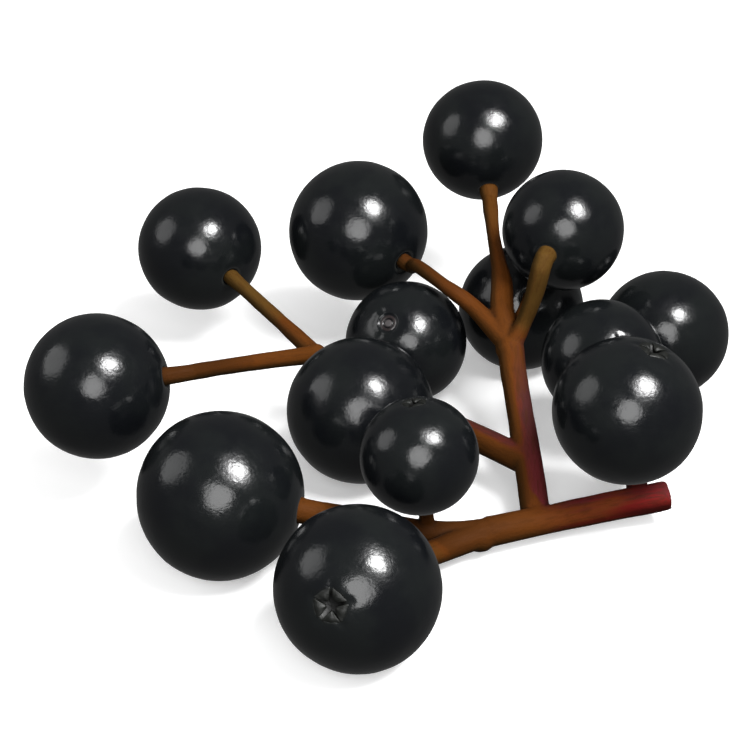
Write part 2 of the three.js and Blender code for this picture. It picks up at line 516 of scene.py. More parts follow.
@dataclass(frozen=True)
class StemBarkFinish:
    """Thin bark: maroon at the cut end, orange-brown in the middle, ochre near berries."""

    mottling: bpy.types.NodeTree
    streaks: bpy.types.NodeTree
    maroon: Colour = (0.150, 0.0105, 0.0085)
    russet: Colour = (0.085, 0.0165, 0.0075)
    # Plum: a cool red, made brighter near the cut end as partly painted light against a berry's
    # cast shadow.
    plum_with_painted_light: Colour = (0.098, 0.0155, 0.0175)
    mulberry: Colour = (0.050, 0.0145, 0.0135)
    # Ember: a brighter brown near the cut end, painted light against a berry's cast shadow.
    ember_painted_light: Colour = (0.140, 0.0320, 0.0085)
    # Dark wine: the painted shade on the under and left sides of red bark.
    wine_shade: Colour = (0.021, 0.0045, 0.0040)
    rust: Colour = (0.079, 0.0235, 0.0042)
    umber: Colour = (0.043, 0.0145, 0.0034)
    ochre: Colour = (0.071, 0.036, 0.0080)
    # Olive: the painted shade on the under and left sides of brown bark.
    olive: Colour = (0.018, 0.0115, 0.0038)
    # Painted shade in the creases at forks and bends.
    crease_shade_brown: Colour = (0.008, 0.0045, 0.0025)
    pith: Colour = (0.130, 0.045, 0.022)
    cloud_scale: float = 260.0
    roughness: float = 0.52
    refraction: float = 1.42
    specular: float = 0.03
    fine_height: float = 0.010 * MILLIMETRE

    def make(self) -> bpy.types.Material:
        """Builds the material.

        Returns:
            The bark, which reads the stem's own attributes.
        """
        material, bench, shader = new_material("stem_bark")
        shader.inputs["IOR"].default_value = self.refraction
        shader.inputs["Specular IOR Level"].default_value = self.specular
        place = bench.add("ShaderNodeTexCoord").outputs["Object"]
        grain = bench.attribute("grain", "Vector")
        along = bench.attribute("along")
        facing = bench.add("ShaderNodeSeparateXYZ")
        bench.link(grain, facing.inputs[0])
        broad = bench.group(self.streaks, Grain=grain, Along=along, Count=1.6, Stretch=0.12)
        narrow = bench.group(self.streaks, Grain=grain, Along=along, Count=4.5, Stretch=0.25)
        clouds = bench.group(self.mottling, Vector=place, Scale=self.cloud_scale)
        # How much maroon there is, with streaks and clouds in its edge.
        red = bench.attribute("redness")
        red = bench.maths("ADD", red, bench.ranged(broad, 0, 1, -0.15, 0.15))
        red = bench.maths("ADD", red, bench.ranged(clouds, 0, 1, -0.08, 0.08))
        red_share = bench.ranged(red, 0.1, 0.8)
        # The browns, by how ochre the pedicel is, with a warmer, brighter one near the cut end:
        # painted light that lightens the shadow a berry casts on the stem there.
        warm = bench.attribute("tint")
        browns = bench.mixed(bench.ranged(warm, 0.0, 0.5), self.umber, self.rust)
        browns = bench.mixed(bench.ranged(warm, 0.5, 1.0), browns, self.ochre)
        browns = bench.mixed(bench.ranged(along, 8.5, 4.0), browns, self.ember_painted_light)
        # The reds: cooler on the upper right sides, duller farther from the cut end. The cool red
        # is brighter near the cut end, partly painted light against the shadow a berry casts
        # there.
        cool = bench.maths("ADD", facing.outputs["X"], facing.outputs["Z"])
        cool = bench.maths("MULTIPLY_ADD", narrow, 0.5, cool)
        cool_red = bench.mixed(bench.ranged(along, 9.0, 13.0), self.plum_with_painted_light, self.mulberry)
        warm_red = bench.mixed(bench.ranged(along, 3.5, 8.0), self.maroon, self.russet)
        reds = bench.mixed(bench.ranged(cool, 0.6, 1.4), warm_red, cool_red)
        colour = bench.mixed(red_share, browns, reds)
        shade_streak = bench.ranged(narrow, 0.45, 1.0, 0.0, 0.35)
        colour = bench.mixed(shade_streak, colour, self.umber)
        # Painted shade: the under and left sides are painted darker, olive on brown bark and dark
        # wine on red bark, the under side most near the cut end.
        under = bench.ranged(facing.outputs["Z"], 0.38, -0.62, 0.0, 0.82)
        lower = bench.ranged(facing.outputs["Z"], 0.55, -0.20, 0.0, 0.85)
        near_cut = bench.ranged(along, 6.0, 2.0)
        under = bench.maths("MAXIMUM", under, bench.maths("MULTIPLY", lower, near_cut))
        left = bench.ranged(facing.outputs["X"], -0.25, -0.9, 0.0, 0.65)
        shade = bench.mixed(red_share, self.olive, self.wine_shade)
        colour = bench.mixed(bench.maths("MAXIMUM", under, left), colour, shade)
        # Painted shade darkens the creases.
        colour = bench.mixed(bench.attribute("crease_shade"), colour, self.crease_shade_brown)
        colour = bench.mixed(bench.attribute("pith"), colour, self.pith)
        bench.link(colour, shader.inputs["Base Color"])
        dull = bench.ranged(narrow, 0, 1, self.roughness - 0.06, self.roughness + 0.1)
        bench.link(dull, shader.inputs["Roughness"])
        fine = bench.group(self.streaks, Grain=grain, Along=along, Count=9.0, Stretch=0.6)
        bench.link(bench.bump(fine, self.fine_height), shader.inputs["Normal"])
        return material


@dataclass(frozen=True)
class FloorFinish:
    """A plain pale floor, evenly bright, with the faintest paper grain."""

    mottling: bpy.types.NodeTree
    pale: Colour = (0.86, 0.86, 0.86)
    paler: Colour = (0.90, 0.90, 0.90)
    grain_scale: float = 20.0
    glow: float = 0.30
    far_glow: float = 0.75
    # How far from the cluster, in metres, the glow begins and stops to grow.
    glow_growth: tuple[float, float] = (0.06, 0.45)

    def make(self) -> bpy.types.Material:
        """Builds the material.

        Returns:
            The floor's material.
        """
        material, bench, shader = new_material("floor")
        place = bench.add("ShaderNodeTexCoord").outputs["Object"]
        clouds = bench.group(self.mottling, Vector=place, Scale=self.grain_scale)
        bench.link(bench.mixed(clouds, self.pale, self.paler), shader.inputs["Base Color"])
        shader.inputs["Roughness"].default_value = 0.9
        shader.inputs["Emission Color"].default_value = (1, 1, 1, 1)
        away = bench.add("ShaderNodeVectorMath", operation="LENGTH")
        bench.link(place, away.inputs[0])
        glow = bench.ranged(away.outputs["Value"], *self.glow_growth, self.glow, self.far_glow)
        bench.link(glow, shader.inputs["Emission Strength"])
        return material


# ---------------------------------------------------------------- berries


@dataclass(frozen=True)
class BerryPlace:
    """Where a berry sits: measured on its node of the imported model."""

    centre: Vector
    radius: float
    stalk: Vector

    @classmethod
    def measured(cls, node: str) -> "BerryPlace":
        """Fits a sphere to a node's vertices; its deepest vertex is the stalk dimple.

        Args:
            node: the berry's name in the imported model.

        Returns:
            The berry's middle, radius and stalk direction.
        """
        places = vectors(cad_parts[node].data.vertices)
        kept = places
        for _ in range(3):
            table = np.column_stack((2 * kept, np.ones(len(kept))))
            fit = np.linalg.lstsq(table, (kept ** 2).sum(1), rcond=None)[0]
            centre = fit[:3]
            radius = math.sqrt(fit[3] + centre @ centre)
            reach = np.linalg.norm(places - centre, axis=1)
            kept = places[abs(reach - radius) < 0.02 * radius]
        stalk = Vector(places[reach.argmin()] - centre).normalized()
        middle = Vector(centre)
        middle.z = max(middle.z, radius)
        return cls(middle, radius, stalk)

    @property
    def stalk_foot(self) -> Vector:
        """The point at the berry's surface where its pedicel arrives."""
        return self.centre + self.stalk * self.radius


@dataclass(frozen=True)
class Sepal:
    """One dried sepal of the calyx, folded in over the pit. Lengths are in berry radii."""

    # Stations from the outer end to the tip: distance from the axis, half width, half
    # thickness and height above the berry's pole plane.
    stations: tuple[tuple[float, float, float, float], ...] = (
        (0.196, 0.112, 0.010, 0.932),
        (0.172, 0.108, 0.016, 0.939),
        (0.145, 0.084, 0.018, 0.943),
        (0.114, 0.057, 0.016, 0.941),
        (0.086, 0.034, 0.012, 0.932),
        (0.066, 0.014, 0.009, 0.918),
    )
    keel: float = 0.010
    cuts: int = 4

    def mesh(self) -> Piece:
        """Models the sepal.

        Returns:
            The sepal, lying over +X with its tip towards the berry's axis.
        """
        deselect_all()
        bpy.ops.mesh.primitive_cube_add(size=1.0, location=(0, 0, 0))
        sepal = bpy.context.active_object
        with editing(sepal):
            bpy.ops.mesh.select_all(action="SELECT")
            bpy.ops.mesh.subdivide(number_cuts=self.cuts)
            last = len(self.stations) - 1
            for step, (reach, half_width, half_thick, height) in enumerate(self.stations):
                x = 0.5 - step / last
                pick(sepal, "verts",
                     lambda v, x=x: abs(v.co.x - x) < 0.01 and abs(v.co.z) <= 0.51)
                bpy.ops.transform.resize(
                    value=(1, 2 * half_width, 2 * half_thick), center_override=(x, 0, 0))
                bpy.ops.transform.translate(value=(2 + reach - x, 0, height))
            bpy.ops.mesh.select_all(action="SELECT")
            bpy.ops.transform.translate(value=(-2, 0, 0))
            pick(sepal, "verts", self.is_on_keel)
            bpy.ops.transform.translate(value=(0, 0, self.keel))
        subdivide_smooth(sepal, 1)
        return sepal

    def is_on_keel(self, vertex: bmesh.types.BMVert) -> bool:
        """Tells whether a vertex is on the sepal's upper side, along its middle.

        Args:
            vertex: the vertex.

        Returns:
            True on the keel.
        """
        place = vertex.co
        reach, half_width, _, height = zip(*self.stations[::-1])
        near_middle = abs(place.y) < 0.3 * float(np.interp(place.x, reach, half_width))
        return near_middle and place.z > float(np.interp(place.x, reach, height))


@dataclass(frozen=True)
class UnitBerry:
    """A berry of radius 1 with its calyx at +Z and its stalk end at -Z."""

    stalk_end: StalkEnd
    segments: int = 60
    rings: int = 40
    cap_angle: float = 0.32
    flattening: float = 0.985
    # Rings of the skin inside each cap: distance from the axis and sink below the sphere.
    calyx_rings: Pairs = (
        (0.280, 0.001), (0.250, 0.003), (0.225, 0.006), (0.205, 0.010), (0.190, 0.016),
        (0.172, 0.030), (0.150, 0.055), (0.120, 0.085), (0.080, 0.108), (0.040, 0.116),
    )
    dimple_rings: Pairs = (
        (0.275, 0.000), (0.245, 0.001), (0.215, 0.003), (0.190, 0.006), (0.170, 0.010),
        (0.152, 0.018), (0.138, 0.034), (0.124, 0.055), (0.090, 0.074), (0.045, 0.078),
    )
    scar_rings: Pairs = (
        (0.282, 0.003), (0.250, 0.008), (0.220, 0.012), (0.196, 0.012), (0.180, 0.013),
        (0.168, 0.018), (0.157, 0.031), (0.148, 0.041), (0.138, 0.044), (0.126, 0.040),
        (0.114, 0.036), (0.102, 0.036), (0.092, 0.042), (0.084, 0.054), (0.076, 0.060),
        (0.068, 0.058), (0.060, 0.048), (0.052, 0.042), (0.038, 0.040), (0.018, 0.040),
    )
    pucker_count: int = 5
    scar_folds: int = 6
    pucker_depth: float = 0.013
    scar_fold_depth: float = 0.007
    fold_range: tuple[float, float] = (0.20, 0.27)
    fold_softness: float = 0.09
    # Turn in degrees and lift of each sepal, so that no two lie alike.
    sepal_turns: Pairs = (
        (2.0, 0.000), (-3.0, 0.004), (3.5, -0.003), (-1.5, 0.003), (1.0, -0.004),
    )

    def mesh(self) -> Piece:
        """Models the unit berry.

        Returns:
            The berry with its attributes calyx, pit, scar and rim.
        """
        deselect_all()
        bpy.ops.mesh.primitive_uv_sphere_add(
            segments=self.segments, ring_count=self.rings, radius=1.0)
        berry = bpy.context.active_object
        berry.name = "unit_berry_" + self.stalk_end.value
        ends = {StalkEnd.DIMPLE: self.dimple_rings, StalkEnd.SCAR: self.scar_rings}
        self.open_and_turn(berry, Pole.CALYX, self.calyx_rings)
        self.open_and_turn(berry, Pole.STALK, ends[self.stalk_end])
        self.pucker(berry, Pole.CALYX, self.pucker_count, self.pucker_depth)
        if self.stalk_end is StalkEnd.SCAR:
            self.pucker(berry, Pole.STALK, self.scar_folds, self.scar_fold_depth)
        with editing(berry):
            bpy.ops.mesh.select_all(action="SELECT")
            bpy.ops.transform.resize(value=(1, 1, self.flattening), center_override=(0, 0, 0))
            bpy.ops.mesh.normals_make_consistent(inside=False)
        self.paint(berry)
        berry = join([berry, *self.calyx_lobes()])
        subdivide_smooth(berry, 1)
        return berry

    def open_and_turn(self, berry: Piece, pole: Pole, rings: Pairs) -> None:
        """Cuts a cap off the sphere and draws the skin inwards ring by ring.

        Args:
            berry: the berry being modelled.
            pole: the end that is opened.
            rings: distance from the axis and sink below the sphere of every new ring.
        """
        sign = pole.value
        with editing(berry, "FACE"):
            pick(berry, "faces", lambda face: self.is_in_cap(face, sign))
            bpy.ops.mesh.delete(type="FACE")
            bpy.ops.mesh.select_mode(type="EDGE")
            pick(berry, "edges", lambda edge: edge.is_boundary)
            rim = next(v.co for v in bmesh.from_edit_mesh(berry.data).verts if v.select)
            reach, height = rim.xy.length, abs(rim.z)
            for next_reach, sink in rings:
                next_height = math.sqrt(1 - next_reach ** 2) - sink
                rise = sign * (next_height - height)
                bpy.ops.mesh.extrude_region_move(TRANSFORM_OT_translate={"value": (0, 0, rise)})
                scale = next_reach / reach
                bpy.ops.transform.resize(value=(scale, scale, 1), center_override=(0, 0, 0))
                reach, height = next_reach, next_height
            bpy.ops.mesh.extrude_region_move(TRANSFORM_OT_translate={"value": (0, 0, 0)})
            bpy.ops.mesh.merge(type="CENTER")

    def is_in_cap(self, face: bmesh.types.BMFace, sign: int) -> bool:
        """Whether a face is in the cap of one pole, which is cut away."""
        middle = face.calc_center_median()
        return math.atan2(middle.xy.length, sign * middle.z) < self.cap_angle

    def pucker(self, berry: Piece, pole: Pole, folds: int, depth: float) -> None:
        """Presses shallow folds into the skin round one end.

        Args:
            berry: the berry being modelled.
            pole: the end that the folds run towards.
            folds: how many folds there are.
            depth: how deep a fold is.
        """
        sign = pole.value
        turn = math.tau / folds

        def in_fold(vertex: bmesh.types.BMVert) -> bool:
            """Tells whether a vertex lies on the middle line of a fold.

            Args:
                vertex: the vertex.

            Returns:
                True on the line.
            """
            place = vertex.co
            angle = (math.atan2(place.y, place.x) - math.pi / 2) % turn
            near = min(angle, turn - angle) < math.tau / self.segments * 0.6
            inner, outer = self.fold_range
            return near and inner < place.xy.length < outer and sign * place.z > 0

        with editing(berry):
            pick(berry, "verts", in_fold)
            bpy.ops.transform.translate(
                value=(0, 0, -sign * depth), use_proportional_edit=True,
                proportional_edit_falloff="SMOOTH", proportional_size=self.fold_softness)

    def paint(self, berry: Piece) -> None:
        """Marks the pit under the calyx for painted shade, the stalk's scar, and the dimple's
        pale rim for a painted highlight.

        Args:
            berry: the unit berry.
        """
        places = vectors(berry.data.vertices)
        reach = np.hypot(places[:, 0], places[:, 1])
        top, bottom = places[:, 2] > 0, places[:, 2] < 0
        scarred = self.stalk_end is StalkEnd.SCAR
        # The pit under the sepals is painted near black: painted shade.
        pit = top * (1 - smooth_step(0.13, 0.18, reach))
        ring = 0.5 * (1 - smooth_step(0.016, 0.030, abs(reach - 0.110)))
        disc = 1 - smooth_step(0.054, 0.066, reach)
        scar = bottom * scarred * np.maximum(ring, disc)
        # A pale ring round the dimple, for the painted highlight on its rim.
        rim = bottom * (not scarred) * (1 - smooth_step(0.008, 0.024, abs(reach - 0.158)))
        for name, values in (("pit", pit), ("scar", scar), ("rim", rim * 0.5)):
            set_attribute(berry.data, name, values)
        set_attribute(berry.data, "calyx", top * (1 - smooth_step(0.18, 0.22, reach)))

    def calyx_lobes(self) -> list[Piece]:
        """Models one sepal and copies it round the pit.

        Returns:
            Five sepals, each with the calyx attribute.
        """
        lobes = [Sepal().mesh()]
        set_attribute(lobes[0].data, "calyx", np.ones(len(lobes[0].data.vertices)))
        for _ in range(SEPALS - 1):
            activate(lobes[0])
            bpy.ops.object.duplicate()
            lobes.append(bpy.context.active_object)
        for number, (lobe, (turn, lift)) in enumerate(zip(lobes, self.sepal_turns)):
            angle = math.pi / 2 + math.tau * (number + 0.5) / SEPALS + math.radians(turn)
            lobe.data.transform(Matrix.Translation((0, 0, lift)) @ Matrix.Rotation(angle, 4, "Z"))
        return lobes


@dataclass(frozen=True)
class Habit:
    """How one berry hangs: a turn about its axis and, if it leans, where its calyx faces."""

    twist_degrees: float = 0.0
    calyx: Triple | None = None


HABITS = {
    "berry_front": Habit(twist_degrees=4.0, calyx=(-0.31, -0.86, 0.40)),
    "berry_right_front": Habit(twist_degrees=20.0, calyx=(0.307, 0.016, 0.95)),
    "berry_right_inner": Habit(twist_degrees=-10.0, calyx=(0.25, -0.727, 0.639)),
    "berry_small_front": Habit(twist_degrees=35.0, calyx=(-0.10, 0.20, 0.975)),
    "berry_loose": Habit(twist_degrees=15.0),
}


@dataclass
class Berry:
    """One berry of the cluster, made from a copy of the unit berry."""

    node: str
    place: BerryPlace
    habit: Habit
    dents_size: float = 2.4 * MILLIMETRE
    dents_depth: float = 0.075 * MILLIMETRE
    ripple_size: float = 0.55 * MILLIMETRE
    ripple_depth: float = 0.006 * MILLIMETRE

    def mesh(self, pattern: Piece, dents: bpy.types.Texture,
             ripples: bpy.types.Texture) -> Piece:
        """Copies the unit berry into place and gives it its own small dents.

        Args:
            pattern: the unit berry.
            dents: the texture of the broad unevenness.
            ripples: the texture of the fine unevenness.

        Returns:
            The finished berry, with its place in its mesh.
        """
        activate(pattern)
        bpy.ops.object.duplicate()
        berry = bpy.context.active_object
        berry.name = self.node + "_fruit"
        berry.data.name = berry.name
        self.lean(berry.data)
        berry.data.transform(self.setting())
        for texture, size, depth in ((dents, self.dents_size, self.dents_depth),
                                     (ripples, self.ripple_size, self.ripple_depth)):
            texture.noise_scale = size
            apply_modifier(berry, "DISPLACE", texture=texture, texture_coords="LOCAL",
                           strength=depth, mid_level=0.5)
        activate(berry)
        bpy.ops.object.shade_smooth()
        return berry

    def setting(self) -> Matrix:
        """Works out where the unit berry goes.

        Returns:
            The matrix that carries it to its place, size and direction.
        """
        up = -self.place.stalk
        hint = Vector((0.0, 0.0, 1.0)) if abs(up.z) < 0.95 else Vector((0.0, 1.0, 0.0))
        across = (hint - up * hint.dot(up)).normalized()
        turn = Matrix((across.cross(up), across, up)).transposed().to_4x4()
        twist = Matrix.Rotation(math.radians(self.habit.twist_degrees), 4, "Z")
        return (Matrix.Translation(self.place.centre) @ turn @ twist
                @ Matrix.Scale(self.place.radius, 4))

    def lean(self, mesh: bpy.types.Mesh) -> None:
        """Swings the calyx end to the way it faces, and leaves the stalk end alone.

        Args:
            mesh: the unit berry's mesh.
        """
        if self.habit.calyx is None:
            return
        turned = self.setting().to_3x3().normalized().inverted()
        wanted = (turned @ Vector(self.habit.calyx)).normalized()
        axis = Vector((0, 0, 1)).cross(wanted).normalized()
        full = Vector((0, 0, 1)).angle(wanted)
        for vertex in mesh.vertices:
            share = float(smooth_step(-0.8, 0.8, np.float64(vertex.co.z)))
            vertex.co = Matrix.Rotation(full * share, 3, axis) @ vertex.co

    def dress(self, berry: Piece, skin: bpy.types.Material) -> None:
        """Gives the berry its skin and puts it in the place of its node."""
        dress_piece(berry, skin, self.node)


# ---------------------------------------------------------------- stem


@dataclass
class Skin:
    """The stem's surface as arrays: places, smoothed normals and who neighbours whom."""

    places: Array
    normals: Array
    edges: Array

    @classmethod
    def of(cls, mesh: bpy.types.Mesh) -> "Skin":
        """Reads a mesh.

        Args:
            mesh: the mesh to read.

        Returns:
            Its surface as arrays.
        """
        edges = np.empty(len(mesh.edges) * 2, np.int32)
        mesh.edges.foreach_get("vertices", edges)
        normals = vectors(mesh.vertex_normals, "vector")
        return cls(vectors(mesh.vertices), normals, edges.reshape(-1, 2))

    def away_from(self, point: Vector) -> Array:
        """How far every place is from a point."""
        return np.linalg.norm(self.places - np.array(point), axis=1)

    def averaged(self, values: Array, rounds: int) -> Array:
        """Averages values with those of the neighbours.

        Args:
            values: a number or vector for each vertex.
            rounds: how many times they are averaged.

        Returns:
            The evened values.
        """
        first, second = self.edges.T
        count = np.bincount(self.edges.ravel(), minlength=len(values)).astype(float) + 1
        columns = values.reshape(len(values), -1).copy()
        for _ in range(rounds):
            for column in range(columns.shape[1]):
                old = columns[:, column]
                total = old + np.bincount(first, old[second], len(old))
                total += np.bincount(second, old[first], len(old))
                columns[:, column] = total / count
        return columns.reshape(values.shape)

    def walked_from(self, starts: dict[int, float]) -> tuple[Array, Array]:
        """Distance along the surface from the nearest start, and which start that is.

        Args:
            starts: vertex numbers, each with the distance that it starts at.

        Returns:
            The distances, and the number of the start that each vertex was reached from.
        """
        lengths = np.linalg.norm(
            self.places[self.edges[:, 0]] - self.places[self.edges[:, 1]], axis=1)
        near: list[list[tuple[int, float]]] = [[] for _ in self.places]
        for (a, b), length in zip(self.edges.tolist(), lengths.tolist()):
            near[a].append((b, length))
            near[b].append((a, length))
        distance = np.full(len(near), np.inf)
        origin = np.full(len(near), -1)
        queue = [(begin, start, start) for start, begin in starts.items()]
        heapq.heapify(queue)
        while queue:
            so_far, here, source = heapq.heappop(queue)
            if so_far >= distance[here]:
                continue
            distance[here] = so_far
            origin[here] = source
            for there, length in near[here]:
                if so_far + length < distance[there]:
                    heapq.heappush(queue, (so_far + length, there, source))
        return distance, origin


@dataclass(frozen=True)
class CutEnd:
    """The flat face at the end of the main stem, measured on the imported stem."""

    middle: Vector
    facing: Vector

    @classmethod
    def measured(cls) -> "CutEnd":
        """Finds the end face of the stem that reaches farthest to the right and front.

        Returns:
            The end's middle and the way it faces.
        """
        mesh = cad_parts[STEM_NODE].data
        corner = max((v.co for v in mesh.vertices), key=lambda co: co.x - co.y)
        faces = [p for p in mesh.polygons
                 if p.normal.x > 0.9 and (p.center - corner).length < 1.5 * MILLIMETRE]
        area = sum(p.area for p in faces)
        middle = sum((p.center * p.area for p in faces), Vector()) / area
        facing = sum((p.normal * p.area for p in faces), Vector()).normalized()
        return cls(middle, facing)


@dataclass
class Stem:
    """The branching stem, grown from a copy of its node, with flared pedicel ends."""

    berries: dict[str, BerryPlace]
    voxel: float = 0.088 * MILLIMETRE
    touching: float = 0.7 * MILLIMETRE
    flare: float = 1.03
    taper: float = 0.82
    flare_start: float = 0.18 * MILLIMETRE
    flare_depth: float = 0.27 * MILLIMETRE
    smoothing_rounds: int = 12
    regrowth: float = 0.055 * MILLIMETRE
    ridge_depth: float = 0.022 * MILLIMETRE
    furrow_depth: float = 0.012 * MILLIMETRE
    knot_depth: float = 0.022 * MILLIMETRE
    swelling: float = 0.075 * MILLIMETRE
    swelling_reach: float = 3.6 * MILLIMETRE
    swollen: tuple[str, ...] = ("berry_back_tip", "berry_upper_right")
    pith_radius: float = 0.30 * MILLIMETRE
    pith_depth: float = 0.10 * MILLIMETRE
    tint_reach: float = 10.0 * MILLIMETRE
    usual_tint: float = 0.6
    far_tint: float = 0.48
    # Where the upper branches begin, in millimetres back and left from the cut end.
    behind_cut: tuple[float, float] = (-1.1023, -0.1023)
    left_of_cut: tuple[float, float] = (-4.6713, -3.6713)
    # The sides of a branch that keep the maroon the longest.
    blushed_side: Triple = (0.90, 0.25, 0.43)
    under_side: Triple = (0.0, -0.5, -0.866)
    # How ochre each pedicel is: 0 dark brown, 0.5 orange-brown and 1 ochre.
    tints: tuple[tuple[str, float], ...] = (
        ("berry_upper_right", 1.0), ("berry_back_left", 1.0), ("berry_back_tip", 0.72),
        ("berry_back_middle", 0.12), ("berry_far_left", 0.08), ("berry_front", 0.70),
        ("berry_left_front", 0.60), ("berry_small_front", 0.05),
    )

    def mesh(self) -> Piece:
        """Grows the stem.

        Returns:
            The stem with its attributes for the bark.
        """
        stem = self.copy_of_node()
        stem = join([stem, *self.pedicel_ends()])
        activate(stem)
        stem.data.remesh_voxel_size = self.voxel
        stem.data.remesh_voxel_adaptivity = 0.0
        bpy.ops.object.voxel_remesh()
        apply_modifier(stem, "SMOOTH", factor=0.5, iterations=self.smoothing_rounds)
        self.shape_and_mark(stem.data)
        activate(stem)
        bpy.ops.object.shade_smooth()
        return stem

    def copy_of_node(self) -> Piece:
        """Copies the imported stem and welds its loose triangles.

        Returns:
            The copy.
        """
        stem = bpy.data.objects.new("stem_branches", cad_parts[STEM_NODE].data.copy())
        bpy.context.scene.collection.objects.link(stem)
        stem.data.name = stem.name
        with editing(stem):
            bpy.ops.mesh.select_all(action="SELECT")
            bpy.ops.mesh.remove_doubles(threshold=0.001 * MILLIMETRE)
        return stem

    def pedicel_ends(self) -> list[Piece]:
        """Models the flared end of every pedicel, which fills its berry's dimple.

        Returns:
            One tapered plug for each berry that the stem reaches.
        """
        places = vectors(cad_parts[STEM_NODE].data.vertices)
        ends = []
        for place in self.berries.values():
            offsets = places - np.array(place.stalk_foot)
            close = offsets[np.linalg.norm(offsets, axis=1) < self.touching]
            if not len(close):
                continue
            level = close @ np.array(place.stalk)
            spread = np.linalg.norm(close - np.outer(level, place.stalk), axis=1)
            end_radius = float(spread[level < 0.1 * MILLIMETRE].max())
            ends.append(self.pedicel_end(place, end_radius))
        return ends

    def pedicel_end(self, place: BerryPlace, end_radius: float) -> Piece:
        """Models one flared pedicel end.

        Args:
            place: the berry that it enters.
            end_radius: the pedicel's radius where it arrives.

        Returns:
            The tapered end, overlapping the pedicel.
        """
        deselect_all()
        depth = self.flare_start + self.flare_depth
        middle = place.stalk_foot + place.stalk * (self.flare_start - self.flare_depth) / 2
        bpy.ops.mesh.primitive_cone_add(
            vertices=24, radius1=end_radius * self.flare, radius2=end_radius * self.taper,
            depth=depth, location=middle,
            rotation=place.stalk.to_track_quat("Z", "Y").to_euler())
        end = bpy.context.active_object
        bpy.ops.object.transform_apply(location=True, rotation=True, scale=True)
        return end

    def shape_and_mark(self, mesh: bpy.types.Mesh) -> None:
        """Raises ridges and furrows on the bark and stores what its colours need.

        Args:
            mesh: the stem's mesh.
        """
        skin = Skin.of(mesh)
        grain = skin.averaged(skin.normals, 14)
        grain /= np.linalg.norm(grain, axis=1)[:, None] + 1e-9
        cut = CutEnd.measured()
        from_cut = skin.places - np.array(cut.middle)
        level = from_cut @ np.array(cut.facing)
        ring = np.linalg.norm(from_cut - np.outer(level, cut.facing), axis=1)
        away = skin.away_from(cut.middle)
        flush = smooth_step(0.55, 0.85, skin.normals @ np.array(cut.facing))
        on_cut = (away < 1.0 * MILLIMETRE) * flush
        along, _ = skin.walked_from({int(away.argmin()): 0.0})
        walked = along / MILLIMETRE
        # Hollows of the surface, kept as the crease mask of the painted shade in creases.
        hollow = ((skin.averaged(skin.places, 6) - skin.places) * skin.normals).sum(1)
        crease_shade = skin.averaged(smooth_step(0.004, 0.022, hollow / MILLIMETRE), 2)
        for place in self.berries.values():
            crease_shade *= smooth_step(0.9, 1.6, skin.away_from(place.stalk_foot) / MILLIMETRE)
        self.raise_bark(skin, grain, walked, on_cut)
        pith = on_cut * (1 - smooth_step(0.8, 1.1, ring / self.pith_radius))
        skin.places -= np.outer(pith * self.pith_depth, cut.facing)
        mesh.vertices.foreach_set("co", skin.places.astype(np.float32).ravel())
        mesh.update()
        set_attribute(mesh, "grain", grain)
        set_attribute(mesh, "along", walked)
        set_attribute(mesh, "crease_shade", np.clip(crease_shade * 0.8, 0, 0.6))
        set_attribute(mesh, "pith", on_cut * (0.35 + 0.65 * (pith > 0.3)))
        set_attribute(mesh, "tint", self.tint_of(skin))
        set_attribute(mesh, "redness", self.redness_of(skin, grain, walked))

    def raise_bark(self, skin: Skin, grain: Array, walked: Array, on_cut: Array) -> None:
        """Moves the surface along its normals by ridges, furrows and low knots.

        Args:
            skin: the surface, which is changed.
            grain: the smoothed normals.
            walked: distance from the cut end in millimetres.
            on_cut: 1 on the cut face, which stays plain.
        """
        height = np.empty(len(walked))
        for index, (facing, far) in enumerate(zip(grain, walked)):
            drift = Vector((far * 0.09, 0.0, far * 0.05))
            broad = noise.noise(Vector(facing * 2.6) + drift)
            thin = noise.noise(Vector(facing * 7.5) + drift * 2.5)
            knot = noise.noise(Vector(skin.places[index] / (1.3 * MILLIMETRE)))
            height[index] = (self.ridge_depth * broad - self.furrow_depth * abs(thin)
                             + self.knot_depth * knot)
        for node in self.swollen:
            away = skin.away_from(self.berries[node].stalk_foot)
            height += self.swelling * (1 - smooth_step(0.3, 1.0, away / self.swelling_reach))
        height = (height + self.regrowth) * (1 - on_cut)
        skin.places += skin.normals * height[:, None]

    def tint_of(self, skin: Skin) -> Array:
        """Works out how ochre the bark is, carried back from each pedicel's tip.

        Args:
            skin: the surface.

        Returns:
            From 0, dark brown, to 1, ochre.
        """
        wanted = dict(self.tints)
        starts, values = {}, {}
        for node, place in self.berries.items():
            away = skin.away_from(place.stalk_foot)
            if away.min() < self.touching:
                starts[int(away.argmin())] = 0.0
                values[int(away.argmin())] = wanted.get(node, self.usual_tint)
        distance, origin = skin.walked_from(starts)
        own = np.array([values[source] for source in origin.tolist()])
        fade = smooth_step(0.25, 1.0, distance / self.tint_reach)
        return skin.averaged(own * (1 - fade) + self.far_tint * fade, 12)

    def redness_of(self, skin: Skin, grain: Array, walked: Array) -> Array:
        """Works out how maroon the bark is.

        Args:
            skin: the surface.
            grain: the smoothed normals.
            walked: distance from the cut end in millimetres.

        Returns:
            1 all round near the cut end, then only on the right and upper sides, which
            keep a blush the farthest along the upper branches, and on the under side.
        """
        x, y, _ = (skin.places - np.array(CutEnd.measured().middle)).T / MILLIMETRE
        raised = smooth_step(*self.behind_cut, y) * (1 - smooth_step(*self.left_of_cut, x))
        blushed_way = grain @ np.array(self.blushed_side)
        under_way = grain @ np.array(self.under_side)
        edge = 0.05 + 0.40 * smooth_step(4.0, 9.0, walked) * (1 - raised) - 0.30 * raised
        reach = 14.0 + 10.0 * raised
        blush = smooth_step(0.0, 0.60, blushed_way - edge)
        blush *= 1 - smooth_step(0.4, 1.0, walked / reach)
